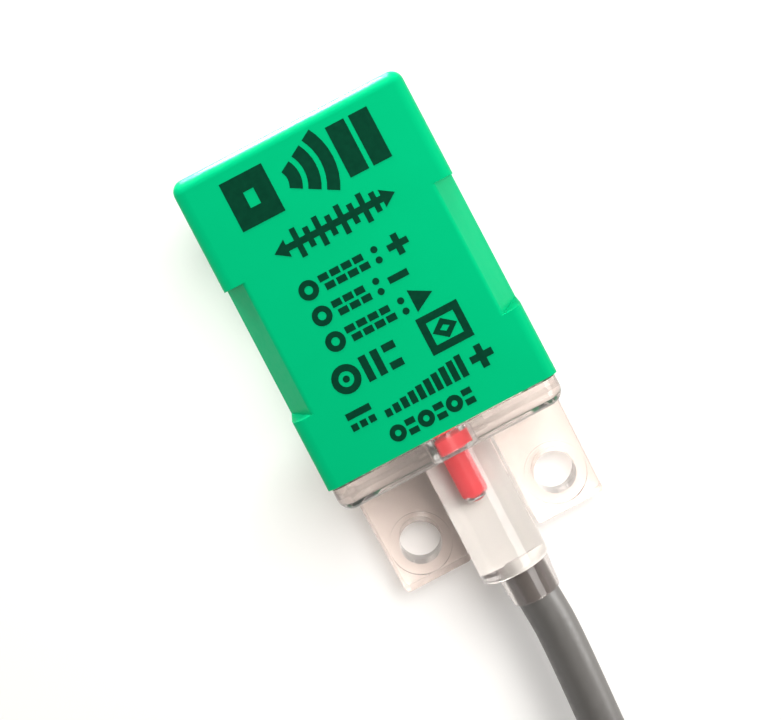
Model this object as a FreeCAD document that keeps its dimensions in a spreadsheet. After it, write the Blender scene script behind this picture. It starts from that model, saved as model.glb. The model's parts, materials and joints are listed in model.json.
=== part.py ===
import FreeCAD, Part
import math
import os
import Sketcher

# Rectangular inductive proximity sensor, 18 x 18 x 36 mm, with a flying lead.
# Frame: origin midway between the two mounting holes, on the mounting face.
# +Y runs out of the sensing face, +Z out of the printed face, units are mm.

Vector = FreeCAD.Vector
Placement = FreeCAD.Placement
Rotation = FreeCAD.Rotation
Constraint = Sketcher.Constraint

doc = FreeCAD.newDocument("proximity_sensor")

# Lengths and volumes smaller than this count as nothing.
TINY = 1e-4

# ---------------------------------------------------------------- dimensions

DIMENSIONS = {
    # housing shell
    "housing_width": 18.0,
    "housing_height": 18.0,
    "housing_length": 24.0,
    "housing_wall": 1.3,
    "housing_radius": 0.9,
    "cavity_radius": 1.5,
    "hole_to_housing": 9.0,
    # grip recesses in the two long top edges
    "recess_start": 5.3,
    "recess_length": 10.3,
    "recess_width": 1.55,
    "recess_drop": 3.0,
    "recess_slant": 0.5,
    "recess_edge_radius": 0.35,
    # rear cap
    "flange_width": 17.6,
    "flange_height": 17.8,
    "flange_thickness": 2.0,
    "flange_radius": 1.1,
    "flange_bevel": 0.15,
    "spigot_depth": 2.5,
    "spigot_wall": 1.2,
    "fit_gap": 0.1,
    "ear_width": 17.9,
    "ear_length": 10.0,
    "ear_thickness": 3.5,
    "ear_inner": 2.95,
    "ear_taper": 0.2,
    "ear_radius": 0.4,
    "mount_hole_diameter": 3.4,
    "mount_hole_spacing": 12.0,
    "screw_seat_diameter": 5.0,
    "screw_seat_depth": 0.4,
    "boss_width": 5.4,
    "boss_length": 10.4,
    "boss_bottom": 5.3,
    "boss_top": 13.3,
    "boss_offset": 0.0,
    "boss_crown_radius": 2.5,
    "boss_end_radius": 0.45,
    "boss_wall": 0.8,
    "channel_top": 10.0,
    "boss_end_wall": 0.5,
    "collar_diameter": 4.4,
    "collar_taper": 5.0,
    "collar_length": 3.0,
    "collar_radius": 0.12,
    # cable
    "cable_offset": 0.4,
    "cable_height": 8.6,
    "cable_diameter": 3.3,
    "jacket_bore": 2.26,
    "cable_clearance": 0.05,
    "core_diameter": 1.0,
    "conductor_diameter": 0.48,
    "conductor_gap": 0.01,
    "jacket_start": 3.6,
    "near_pivot": 10.5,
    "far_pivot": 22.5,
    "pivot_gap": 0.1,
    "core_inset": 1.1,
    "jacket_end": 35.0,
    "core_end": 44.0,
    "conductor_end": 49.0,
    # indicator
    "led_offset": -0.1,
    "led_height": 11.3,
    "led_diameter": 1.5,
    "led_rim_diameter": 3.2,
    "led_rim_length": 1.2,
    "led_length": 5.5,
    "led_back": 8.1,
    "led_pitch": 1.27,
    "led_flat": 0.95,
    "lead_diameter": 0.36,
    "lead_gap": 0.02,
    "lead_run": 2.0,
    "lead_drop": 1.6,
    # circuit board
    "board_width": 13.0,
    "board_length": 13.0,
    "board_thickness": 0.8,
    "board_corner_radius": 0.5,
    "board_back": 12.2,
    "board_top": 7.4,
    "pad_row": 13.7,
    "pad_spacing": 2.6,
    "led_pad_row": 16.4,
    "coil_pad_row": 24.2,
    "wire_lift": 0.05,
    "wire_end": 0.3,
    "sleeve_lap": 0.2,
    "core_spread_run": 2.6,
    "large_dome": 1.0,
    "small_dome": 0.5,
    # surface-mount packages
    "chip_standoff": 0.1,
    "chip_bevel": 0.2,
    "leg_width": 0.4,
    "leg_thickness": 0.2,
    "leg_shoulder": 0.45,
    "leg_slope": 0.1,
    "leg_foot": 0.5,
    "leg_lift": 0.02,
    # sensing coil
    "core_back": 26.7,
    "core_radius": 7.0,
    "core_length": 4.6,
    "core_floor": 1.2,
    "core_rim": 1.0,
    "post_radius": 2.9,
    "post_hole_radius": 1.0,
    "bobbin_wall": 0.4,
    "bobbin_radius": 5.8,
    "bobbin_length": 3.1,
    "bobbin_cheek": 0.35,
    "winding_radius": 5.4,
    "winding_gap": 0.02,
    "coil_gap": 0.1,
    "coil_lead_radius": 4.5,
    "coil_lead_diameter": 0.2,
    "coil_lead_hole": 0.8,
    "coil_lead_run": 0.6,
    # potting resin
    "resin_front": 25.4,
    "pocket_width": 14.0,
    "pocket_bottom": 5.2,
    "pocket_top": 11.9,
    "pocket_back": 11.9,
    "fan_back": 9.4,
    "fan_width": 6.8,
    # how far joined or cutting blocks run past the face they must reach
    "overrun": 1.0,
}

# Package sizes: length, width and height. Places on the board are given as
# sideways from the middle and forwards from its back edge.
EIGHT_LEG_PACKAGE = (4.9, 3.6, 1.3)
FOUR_LEG_PACKAGE = (3.2, 2.6, 1.2)
RESISTOR = (2.0, 1.25, 0.5)
CAPACITOR = (2.0, 1.25, 1.1)
DIODE = (2.7, 1.6, 1.1)

sheet = doc.addObject("Spreadsheet::Sheet", "dims")
for row, (alias, size) in enumerate(DIMENSIONS.items(), start=1):
    sheet.set(f"A{row}", alias)
    sheet.set(f"B{row}", str(size))
    sheet.setAlias(f"B{row}", alias)
doc.recompute()


def number(expression):
    """The value of a spreadsheet expression such as dims.board_width / 2."""
    result = sheet.evalExpression(str(expression))
    return float(getattr(result, "Value", result))


def size(alias):
    return number(f"dims.{alias}")


# ------------------------------------------------------------ sketch helpers

def new_body(label, x="0", y="0", z="0"):
    body = doc.addObject("PartDesign::Body", label)
    body.Label = label
    for axis, expression in zip("xyz", (x, y, z)):
        body.setExpression(f"Placement.Base.{axis}", expression)
    return body


def origin_part(body, role):
    """A plane or axis of the body's own origin."""
    return next(item for item in body.Origin.OriginFeatures if item.Role == role)


def new_sketch(body, role, name, lift="0"):
    """A sketch on an origin plane of its body, lifted along the plane's normal."""
    sketch = body.newObject("Sketcher::SketchObject", name)
    sketch.AttachmentSupport = [(origin_part(body, role), "")]
    sketch.MapMode = "FlatFace"
    sketch.setExpression("AttachmentOffset.Base.z", lift)
    return sketch


def pin_point(sketch, geometry, vertex, x, y):
    """Ties one point of a sketch to two spreadsheet expressions."""
    for kind, expression in (("DistanceX", x), ("DistanceY", y)):
        index = sketch.addConstraint(Constraint(kind, -1, 1, geometry, vertex, number(expression)))
        sketch.setExpression(f"Constraints[{index}]", expression)


def add_outline(sketch, corners):
    """A closed outline of straight sides through corners given as expressions."""
    points = [Vector(number(x), number(y), 0) for x, y in corners]
    first = sketch.GeometryCount
    for index, point in enumerate(points):
        following = points[(index + 1) % len(points)]
        sketch.addGeometry(Part.LineSegment(point, following), False)
    for index in range(len(points)):
        following = first + (index + 1) % len(points)
        sketch.addConstraint(Constraint("Coincident", first + index, 2, following, 1))
    for index, (x, y) in enumerate(corners):
        pin_point(sketch, first + index, 1, x, y)


def add_rectangle(sketch, left, low, right, high):
    add_outline(sketch, [(left, low), (right, low), (right, high), (left, high)])


def add_circle(sketch, x, y, diameter):
    centre = Vector(number(x), number(y), 0)
    circle = Part.Circle(centre, Vector(0, 0, 1), number(diameter) / 2)
    geometry = sketch.addGeometry(circle, False)
    pin_point(sketch, geometry, 3, x, y)
    index = sketch.addConstraint(Constraint("Diameter", geometry, number(diameter)))
    sketch.setExpression(f"Constraints[{index}]", diameter)


def extrude(body, kind, name, sketch, length, reverse=False):
    """A Pad or Pocket of a sketch; fails if it adds or removes nothing."""
    before = body.Shape.Volume if body.Tip else 0.0
    feature = body.newObject(f"PartDesign::{kind}", name)
    feature.Profile = sketch
    feature.setExpression("Length", length)
    feature.Reversed = reverse
    doc.recompute()
    if abs(body.Shape.Volume - before) < TINY:
        raise ValueError(f"{name} changes nothing")
    return feature


def revolve(body, name, sketch):
    feature = body.newObject("PartDesign::Revolution", name)
    feature.Profile = sketch
    feature.ReferenceAxis = (sketch, ["V_Axis"])
    feature.Angle = 360
    doc.recompute()
    return feature


def edges_where(shape, test):
    """Names of the edges whose bounding box passes a test."""
    return [f"Edge{i}" for i, edge in enumerate(shape.Edges, start=1) if test(edge.BoundBox)]


def dress(body, kind, name, value, test):
    """A Fillet or Chamfer on the edges of the body that pass a test."""
    base = body.Tip
    names = edges_where(base.Shape, test)
    if not names:
        raise ValueError(f"{name} finds no edge")
    feature = body.newObject(f"PartDesign::{kind}", name)
    feature.Base = (base, names)
    feature.setExpression("Radius" if kind == "Fillet" else "Size", value)
    doc.recompute()
    return feature


def mirror_left_right(body, name, originals):
    feature = body.newObject("PartDesign::Mirrored", name)
    feature.Originals = originals
    feature.MirrorPlane = (origin_part(body, "YZ_Plane"), [""])
    body.Tip = feature
    doc.recompute()
    return feature


def near(a, b):
    return abs(a - b) < TINY


def runs_along_y(box):
    return box.YLength > 1.0 and box.XLength < TINY and box.ZLength < TINY


# -------------------------------------------------------------------- housing

def build_housing():
    """Moulded shell, closed at the sensing face and open at the back."""
    body = new_body("housing", y="dims.hole_to_housing")
    outline = new_sketch(body, "XZ_Plane", "housing_outline")
    add_rectangle(outline, "-dims.housing_width / 2", "0",
                  "dims.housing_width / 2", "dims.housing_height")
    extrude(body, "Pad", "housing_block", outline, "dims.housing_length", reverse=True)
    dress(body, "Fillet", "housing_edges", "dims.housing_radius", lambda box: box.YMax > TINY)

    cavity = new_sketch(body, "XZ_Plane", "cavity_outline")
    add_rectangle(cavity, "dims.housing_wall - dims.housing_width / 2", "dims.housing_wall",
                  "dims.housing_width / 2 - dims.housing_wall",
                  "dims.housing_height - dims.housing_wall")
    extrude(body, "Pocket", "cavity", cavity, "dims.housing_length - dims.housing_wall")
    inner = number("dims.housing_width / 2 - dims.housing_wall")
    dress(body, "Fillet", "cavity_edges", "dims.cavity_radius",
          lambda box: runs_along_y(box) and near(abs(box.XMin), inner))

    # Wedge standing on its point: nothing wide at the bottom of the recess,
    # full width at the printed face, its back end wall leaning outwards.
    before = body.Shape.Volume
    recess = body.newObject("PartDesign::SubtractiveWedge", "recess_right")
    recess.Placement = Placement(Vector(0, 0, 0), Rotation(Vector(1, 0, 0), 90))
    for limit, expression in (
        ("Xmin", "dims.housing_width / 2"),
        ("Xmax", "dims.housing_width / 2 + dims.overrun"),
        ("X2min", "dims.housing_width / 2 - dims.recess_width"),
        ("X2max", "dims.housing_width / 2 + dims.overrun"),
        ("Ymin", "dims.housing_height - dims.recess_drop"),
        ("Ymax", "dims.housing_height"),
        ("Zmin", "-dims.recess_start - dims.recess_length"),
        ("Zmax", "-dims.recess_start - dims.recess_slant"),
        ("Z2min", "-dims.recess_start - dims.recess_length"),
        ("Z2max", "-dims.recess_start"),
    ):
        recess.setExpression(limit, expression)
    doc.recompute()
    one_recess = before - body.Shape.Volume
    mirror_left_right(body, "recess_left", [recess])
    if one_recess < TINY or not near(before - body.Shape.Volume, 2 * one_recess):
        raise ValueError("a side recess is missing")
    ridge = number("dims.housing_width / 2 - dims.recess_width")
    printed_face = size("housing_height")
    dress(body, "Fillet", "recess_edges", "dims.recess_edge_radius",
          lambda box: runs_along_y(box) and near(abs(box.XMin), ridge)
          and near(box.ZMin, printed_face))
    return body


# ------------------------------------------------------------------- rear cap

def build_rear_cap():
    """Clear moulded cap: flange, spigot, cable boss, collar and two ears."""
    body = new_body("rear_cap")
    back = "dims.hole_to_housing - dims.flange_thickness"
    ear_end = f"{back} - dims.ear_length"

    flange = new_sketch(body, "XZ_Plane", "flange_outline", lift=f"-({back})")
    add_rectangle(flange, "-dims.flange_width / 2", "0", "dims.flange_width / 2",
                  "dims.flange_height")
    extrude(body, "Pad", "flange", flange, "dims.flange_thickness", reverse=True)
    joint_plane = size("hole_to_housing")
    dress(body, "Fillet", "flange_edges", "dims.flange_radius",
          lambda box: box.YMin < joint_plane - TINY and box.ZMax > TINY)
    dress(body, "Chamfer", "flange_bevels", "dims.flange_bevel",
          lambda box: box.YMin > joint_plane - TINY and box.ZMax > TINY)

    ears = new_sketch(body, "XY_Plane", "ear_outlines")
    for side in ("-", ""):
        add_outline(ears, [
            (f"{side}dims.ear_inner", f"{back} + dims.overrun"),
            (f"{side}dims.ear_width / 2", f"{back} + dims.overrun"),
            (f"{side}(dims.ear_width / 2 - dims.ear_taper)", ear_end),
            (f"{side}dims.ear_inner", ear_end),
        ])
        add_circle(ears, f"{side}dims.mount_hole_spacing / 2", "0", "dims.mount_hole_diameter")
    extrude(body, "Pad", "ears", ears, "dims.ear_thickness")
    seats = new_sketch(body, "XY_Plane", "screw_seats", lift="dims.ear_thickness")
    for side in ("-", ""):
        add_circle(seats, f"{side}dims.mount_hole_spacing / 2", "0", "dims.screw_seat_diameter")
    extrude(body, "Pocket", "screw_seat_recesses", seats, "dims.screw_seat_depth")
    ear_tip = number(ear_end)
    dress(body, "Fillet", "ear_corners", "dims.ear_radius",
          lambda box: near(box.YMin, ear_tip) and near(box.YMax, ear_tip) and box.XLength < TINY)

    boss_end = f"{back} - dims.boss_length"
    boss = new_sketch(body, "XZ_Plane", "boss_outline", lift=f"-({boss_end})")
    add_rectangle(boss, "dims.boss_offset - dims.boss_width / 2", "dims.boss_bottom",
                  "dims.boss_offset + dims.boss_width / 2", "dims.boss_top")
    extrude(body, "Pad", "boss", boss, "dims.boss_length + dims.overrun", reverse=True)
    top = size("boss_top")
    dress(body, "Fillet", "boss_crown", "dims.boss_crown_radius",
          lambda box: runs_along_y(box) and near(box.ZMin, top))
    low = size("boss_bottom")
    boss_tip = number(boss_end)
    dress(body, "Fillet", "boss_end", "dims.boss_end_radius",
          lambda box: near(box.YMin, boss_tip) and near(box.YMax, boss_tip)
          and box.ZMax > low + TINY)

    collar = new_sketch(body, "XZ_Plane", "collar_outline", lift=f"-({boss_end}) - dims.boss_end_radius")
    add_circle(collar, "dims.cable_offset", "dims.cable_height", "dims.collar_diameter")
    cone = extrude(body, "Pad", "collar", collar, "dims.collar_length + dims.boss_end_radius")
    cone.setExpression("TaperAngle", "-dims.collar_taper")
    doc.recompute()
    collar_tip = number(f"{boss_end} - dims.collar_length")
    dress(body, "Fillet", "collar_end", "dims.collar_radius",
          lambda box: near(box.YMin, collar_tip) and near(box.YMax, collar_tip))

    spigot = new_sketch(body, "XZ_Plane", "spigot_outline", lift="-dims.hole_to_housing")
    outer = "(dims.housing_width / 2 - dims.housing_wall - dims.fit_gap)"
    bottom = "(dims.housing_wall + dims.fit_gap)"
    ceiling = "(dims.housing_height - dims.housing_wall - dims.fit_gap)"
    add_rectangle(spigot, f"-{outer}", bottom, outer, ceiling)
    extrude(body, "Pad", "spigot", spigot, "dims.spigot_depth", reverse=True)
    half_width = number(outer)
    dress(body, "Fillet", "spigot_corners", "dims.cavity_radius",
          lambda box: runs_along_y(box) and near(abs(box.XMin), half_width)
          and box.YMin > joint_plane - TINY)
    window = new_sketch(body, "XZ_Plane", "spigot_window",
                        lift="-dims.hole_to_housing - dims.spigot_depth")
    add_rectangle(window, f"dims.spigot_wall - {outer}", f"dims.spigot_wall + {bottom}",
                  f"{outer} - dims.spigot_wall", f"{ceiling} - dims.spigot_wall")
    extrude(body, "Pocket", "spigot_hollow", window, "dims.spigot_depth", reverse=True)

    channel = new_sketch(body, "XZ_Plane", "channel_outline", lift="-dims.hole_to_housing")
    add_rectangle(channel, "dims.boss_offset - dims.boss_width / 2 + dims.boss_wall",
                  "dims.boss_bottom + dims.boss_wall",
                  "dims.boss_offset + dims.boss_width / 2 - dims.boss_wall",
                  "dims.channel_top")
    extrude(body, "Pocket", "channel", channel,
            "dims.flange_thickness + dims.boss_length - dims.boss_end_wall", reverse=True)

    seat = new_sketch(body, "XZ_Plane", "lamp_rim_seat", lift="-dims.hole_to_housing")
    add_circle(seat, "dims.led_offset", "dims.led_height", "dims.led_rim_diameter + dims.fit_gap")
    extrude(body, "Pocket", "lamp_rim_bore", seat,
            "dims.hole_to_housing - dims.led_back + dims.led_rim_length + dims.fit_gap / 2",
            reverse=True)
    stem = new_sketch(body, "XZ_Plane", "lamp_stem_seat", lift="-dims.led_back")
    add_circle(stem, "dims.led_offset", "dims.led_height", "dims.led_diameter + dims.fit_gap")
    extrude(body, "Pocket", "lamp_stem_bore", stem, "dims.led_length + dims.fit_gap / 2",
            reverse=True)
    bore_end = number("dims.led_back - dims.led_length - dims.fit_gap / 2")
    dress(body, "Fillet", "lamp_bore_dome", "dims.led_diameter / 2",
          lambda box: near(box.YMin, bore_end) and near(box.YMax, bore_end))

    entry = new_sketch(body, "XZ_Plane", "cable_entry",
                       lift=f"dims.collar_length - ({boss_end})")
    add_circle(entry, "dims.cable_offset", "dims.cable_height",
               "dims.cable_diameter + 2 * dims.cable_clearance")
    extrude(body, "Pocket", "cable_bore", entry,
            "dims.collar_length + dims.boss_end_wall + 2 * dims.fit_gap")
    return body


# -------------------------------------------------------------- potting resin

def build_potting_resin():
    """Cast resin that fills the cap and the back of the housing."""
    body = new_body("potting_resin")
    outer = "(dims.housing_width / 2 - dims.housing_wall - dims.fit_gap)"
    bottom = "(dims.housing_wall + dims.fit_gap)"
    ceiling = "(dims.housing_height - dims.housing_wall - dims.fit_gap)"
    inset = "(dims.spigot_wall + dims.fit_gap)"
    plug_front = "(dims.hole_to_housing + dims.spigot_depth + dims.fit_gap)"

    plug = new_sketch(body, "XZ_Plane", "plug_outline", lift="-dims.hole_to_housing - dims.fit_gap")
    add_rectangle(plug, f"{inset} - {outer}", f"{bottom} + {inset}", f"{outer} - {inset}",
                  f"{ceiling} - {inset}")
    extrude(body, "Pad", "plug", plug, "dims.spigot_depth + dims.fit_gap", reverse=True)

    block = new_sketch(body, "XZ_Plane", "block_outline", lift=f"-{plug_front}")
    add_rectangle(block, f"-{outer}", bottom, outer, ceiling)
    extrude(body, "Pad", "block", block, f"dims.resin_front - {plug_front}", reverse=True)
    half_width = number(outer)
    dress(body, "Fillet", "block_corners", "dims.cavity_radius",
          lambda box: runs_along_y(box) and near(abs(box.XMin), half_width))

    wall = "(dims.boss_wall + dims.fit_gap / 2)"
    tongue_back = "(dims.hole_to_housing - dims.flange_thickness - dims.boss_length + dims.boss_end_wall)"
    tongue = new_sketch(body, "XZ_Plane", "tongue_outline", lift=f"-{tongue_back} - dims.fit_gap / 2")
    add_rectangle(tongue, f"dims.boss_offset - dims.boss_width / 2 + {wall}",
                  f"dims.boss_bottom + {wall}",
                  f"dims.boss_offset + dims.boss_width / 2 - {wall}",
                  "dims.channel_top - dims.fit_gap / 2")
    extrude(body, "Pad", "tongue", tongue,
            f"dims.hole_to_housing + dims.spigot_depth / 2 - {tongue_back}", reverse=True)
    neck = new_sketch(body, "XZ_Plane", "neck_outline", lift="dims.jacket_start - dims.fit_gap / 2")
    add_circle(neck, "dims.cable_offset", "dims.cable_height", "dims.cable_diameter")
    extrude(body, "Pad", "neck", neck, f"dims.jacket_start + {tongue_back} + dims.fit_gap",
            reverse=True)

    pocket = new_sketch(body, "XZ_Plane", "board_pocket", lift="-dims.pocket_back")
    add_rectangle(pocket, "-dims.pocket_width / 2", "dims.pocket_bottom",
                  "dims.pocket_width / 2", "dims.pocket_top")
    extrude(body, "Pocket", "board_space", pocket, "dims.resin_front - dims.pocket_back")

    cores = new_sketch(body, "XZ_Plane", "core_passage", lift="dims.jacket_start")
    add_circle(cores, "dims.cable_offset", "dims.cable_height", "dims.jacket_bore + dims.fit_gap")
    extrude(body, "Pocket", "core_bore", cores, "dims.jacket_start + dims.pocket_back + dims.fit_gap")

    fan = new_sketch(body, "XZ_Plane", "core_fan", lift="-dims.fan_back")
    add_rectangle(fan, "dims.cable_offset - dims.fan_width / 2", "dims.board_top",
                  "dims.cable_offset + dims.fan_width / 2",
                  "dims.cable_height + dims.jacket_bore / 2")
    extrude(body, "Pocket", "core_spread", fan, "dims.pocket_back - dims.fan_back + dims.fit_gap")

    leads = new_sketch(body, "XZ_Plane", "lead_passage", lift="-dims.hole_to_housing")
    add_rectangle(leads, "dims.led_offset - dims.led_pitch / 2 - dims.lead_diameter",
                  "dims.led_height - dims.lead_diameter",
                  "dims.led_offset + dims.led_pitch / 2 + dims.lead_diameter",
                  "dims.led_height + dims.lead_diameter")
    extrude(body, "Pocket", "lead_slot", leads,
            "dims.pocket_back - dims.hole_to_housing + dims.fit_gap")

    rim = new_sketch(body, "XZ_Plane", "rim_relief", lift="-dims.hole_to_housing")
    add_circle(rim, "dims.led_offset", "dims.led_height", "dims.led_rim_diameter + dims.fit_gap")
    extrude(body, "Pocket", "led_rim_relief", rim,
            "dims.hole_to_housing - dims.led_back + dims.led_rim_length + dims.fit_gap",
            reverse=True)
    return body


# ---------------------------------------------------------------- sensing coil

def build_ferrite_core():
    """Half pot core, open towards the sensing face."""
    body = new_body("ferrite_core", y="dims.core_back", z="dims.housing_height / 2")
    half = new_sketch(body, "XY_Plane", "core_section")
    add_outline(half, [
        ("dims.post_hole_radius", "0"),
        ("dims.core_radius", "0"),
        ("dims.core_radius", "dims.core_length"),
        ("dims.core_radius - dims.core_rim", "dims.core_length"),
        ("dims.core_radius - dims.core_rim", "dims.core_floor"),
        ("dims.post_radius", "dims.core_floor"),
        ("dims.post_radius", "dims.core_length"),
        ("dims.post_hole_radius", "dims.core_length"),
    ])
    revolve(body, "pot_core", half)
    add_lead_holes(body, "dims.core_floor")
    return body


def add_lead_holes(body, depth):
    """Two small holes that let the coil's leads out at the back."""
    holes = new_sketch(body, "XZ_Plane", f"{body.Label}_lead_holes")
    for side in ("-", ""):
        add_circle(holes, f"{side}dims.coil_lead_radius", "0", "dims.coil_lead_hole")
    extrude(body, "Pocket", f"{body.Label}_lead_passages", holes, depth)


def build_coil_bobbin():
    """Flanged former that slips over the centre post."""
    body = new_body("coil_bobbin", y="dims.core_back + dims.core_floor + dims.coil_gap",
                    z="dims.housing_height / 2")
    half = new_sketch(body, "XY_Plane", "bobbin_section")
    inner = "dims.post_radius + dims.coil_gap"
    hub = f"{inner} + dims.bobbin_wall"
    front_cheek = "dims.bobbin_length - dims.bobbin_cheek"
    add_outline(half, [
        (inner, "0"),
        ("dims.bobbin_radius", "0"),
        ("dims.bobbin_radius", "dims.bobbin_cheek"),
        (hub, "dims.bobbin_cheek"),
        (hub, front_cheek),
        ("dims.bobbin_radius", front_cheek),
        ("dims.bobbin_radius", "dims.bobbin_length"),
        (inner, "dims.bobbin_length"),
    ])
    revolve(body, "bobbin", half)
    add_lead_holes(body, "dims.bobbin_cheek")
    return body


def build_coil_winding():
    """Enamelled wire wound on the bobbin, as one solid ring."""
    body = new_body("coil_winding",
                    y="dims.core_back + dims.core_floor + dims.coil_gap + dims.bobbin_cheek",
                    z="dims.housing_height / 2")
    half = new_sketch(body, "XY_Plane", "winding_section")
    hub = "dims.post_radius + dims.coil_gap + dims.bobbin_wall + dims.winding_gap"
    add_rectangle(half, hub, "dims.winding_gap", "dims.winding_radius",
                  "dims.bobbin_length - 2 * dims.bobbin_cheek - dims.winding_gap")
    revolve(body, "winding", half)
    rim = size("winding_radius")
    dress(body, "Fillet", "winding_rims", "2 * dims.coil_gap", lambda box: near(box.XMax, rim))
    return body


# ----------------------------------------------------------------- electronics

def build_circuit_board():
    body = new_body("circuit_board", y="dims.board_back",
                    z="dims.board_top - dims.board_thickness")
    outline = new_sketch(body, "XY_Plane", "board_outline")
    add_rectangle(outline, "-dims.board_width / 2", "0", "dims.board_width / 2",
                  "dims.board_length")
    extrude(body, "Pad", "board", outline, "dims.board_thickness")
    thickness = size("board_thickness")
    dress(body, "Fillet", "board_corners", "dims.board_corner_radius",
          lambda box: near(box.ZLength, thickness))
    return body


def build_leaded_chip(label, place, package, legs, pitch):
    """Moulded package with gull-wing legs on its two long sides."""
    length, width, height = package
    body = new_body(label, x=str(place[0]), y=f"dims.board_back + {place[1]}", z="dims.board_top")
    outline = new_sketch(body, "XY_Plane", f"{label}_package", lift="dims.chip_standoff")
    add_rectangle(outline, f"-{length / 2}", f"-{width / 2}", f"{length / 2}", f"{width / 2}")
    extrude(body, "Pad", f"{label}_moulding", outline, str(height))
    lid = height + size("chip_standoff")
    dress(body, "Chamfer", f"{label}_bevel", "dims.chip_bevel", lambda box: near(box.ZMin, lid))

    row_start = f"-{(legs - 1) * pitch / 2} - dims.leg_width / 2"
    profile = new_sketch(body, "YZ_Plane", f"{label}_legs", lift=row_start)
    thickness = size("leg_thickness")
    knee = height / 2
    shoulder = width / 2 + size("leg_shoulder")
    ankle = shoulder + size("leg_slope")
    toe = ankle + size("leg_foot")
    for side in (-1, 1):
        add_outline(profile, [(f"{side * across}", f"{level}") for across, level in (
            (width / 2 - thickness, knee),
            (shoulder, knee),
            (ankle, thickness),
            (toe, thickness),
            (toe, size("leg_lift")),
            (shoulder - size("leg_slope"), size("leg_lift")),
            (shoulder - thickness, knee - thickness),
            (width / 2 - thickness, knee - thickness),
        )])
    first_pair = extrude(body, "Pad", f"{label}_first_legs", profile, "dims.leg_width")
    row = body.newObject("PartDesign::LinearPattern", f"{label}_leg_row")
    row.Originals = [first_pair]
    row.Direction = (origin_part(body, "X_Axis"), [""])
    row.Length = (legs - 1) * pitch
    row.Occurrences = legs
    body.Tip = row
    doc.recompute()
    return body


def build_chip_group(label, places, package, turned=False, below=False):
    """Identical surface-mount blocks, as one group of separate solids."""
    length, width, height = package
    blocks = []
    for index, (x, y) in enumerate(places, start=1):
        block = doc.addObject("Part::Box", f"{label}_{index}")
        block.Length = width if turned else length
        block.Width = length if turned else width
        block.Height = height
        block.setExpression("Placement.Base.x", f"{x} - Length / 2 / 1mm")
        block.setExpression("Placement.Base.y", f"dims.board_back + {y} - Width / 2 / 1mm")
        block.setExpression(
            "Placement.Base.z",
            f"dims.board_top - dims.board_thickness - {height}" if below else "dims.board_top")
        blocks.append(block)
    group = doc.addObject("Part::Compound", label)
    group.Label = label
    group.Links = blocks
    return group


# ------------------------------------------------------------------ indicator

def build_indicator_led():
    """Round-ended lamp body with a rim and a cathode flat at its back."""
    body = new_body("indicator_led", x="dims.led_offset", y="dims.led_back",
                    z="dims.led_height")
    half = new_sketch(body, "XY_Plane", "led_section")
    stem = size("led_diameter") / 2
    rim = size("led_rim_diameter") / 2
    shoulder = -size("led_rim_length")
    tip = -size("led_length")
    points = [Vector(0, 0, 0), Vector(rim, 0, 0), Vector(rim, shoulder, 0),
              Vector(stem, shoulder, 0), Vector(stem, tip + stem, 0)]
    for start, end in zip(points, points[1:]):
        half.addGeometry(Part.LineSegment(start, end), False)
    dome_centre = Vector(0, tip + stem, 0)
    dome = Part.Arc(Vector(stem, tip + stem, 0),
                    dome_centre + Vector(stem, -stem, 0) * math.sqrt(0.5), Vector(0, tip, 0))
    half.addGeometry(dome, False)
    half.addGeometry(Part.LineSegment(Vector(0, tip, 0), points[0]), False)
    revolve(body, "lamp", half)
    flat = new_sketch(body, "XZ_Plane", "cathode_flat")
    add_rectangle(flat, "-dims.led_rim_diameter", "-dims.led_rim_diameter", "-dims.led_flat",
                  "dims.led_rim_diameter")
    extrude(body, "Pocket", "cathode_side", flat, "dims.led_rim_length", reverse=True)
    return body


# ----------------------------------------------------------- wires and solder

def wire_path(points):
    """Straight first and last stretches joined by a smooth curve."""
    curve = Part.BSplineCurve()
    start_direction = (points[1] - points[0]).normalize()
    end_direction = (points[3] - points[2]).normalize()
    curve.interpolate(Points=[points[1], points[2]],
                      InitialTangent=start_direction, FinalTangent=end_direction)
    return Part.Wire([Part.makeLine(points[0], points[1]), curve.toShape(),
                      Part.makeLine(points[2], points[3])])


def wire_solid(path, diameter):
    start = path.Edges[0].firstVertex().Point
    direction = (path.Edges[0].lastVertex().Point - start).normalize()
    ring = Part.Wire([Part.makeCircle(diameter / 2, start, direction)])
    return path.makePipeShell([ring], True, False)


def add_shape(label, shape):
    feature = doc.addObject("Part::Feature", label)
    feature.Label = label
    feature.Shape = shape
    feature.Placement = Placement()
    return feature


def core_places():
    """The three cores lie against each other round the cable's axis."""
    ring = (size("core_diameter") + 2 * size("conductor_gap")) / math.sqrt(3)
    centre = Vector(size("cable_offset"), 0, size("cable_height"))
    places = {}
    for name, angle in (("brown", 270), ("blue", 30), ("black", 150)):
        turn = math.radians(angle)
        places[name] = centre + Vector(math.cos(turn), 0, math.sin(turn)) * ring
    return places


def core_pads():
    """Solder pads of the three cores, left to right along the board's back edge."""
    middle = size("cable_offset")
    return {
        "black": middle - size("pad_spacing"),
        "brown": middle,
        "blue": middle + size("pad_spacing"),
    }


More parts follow.
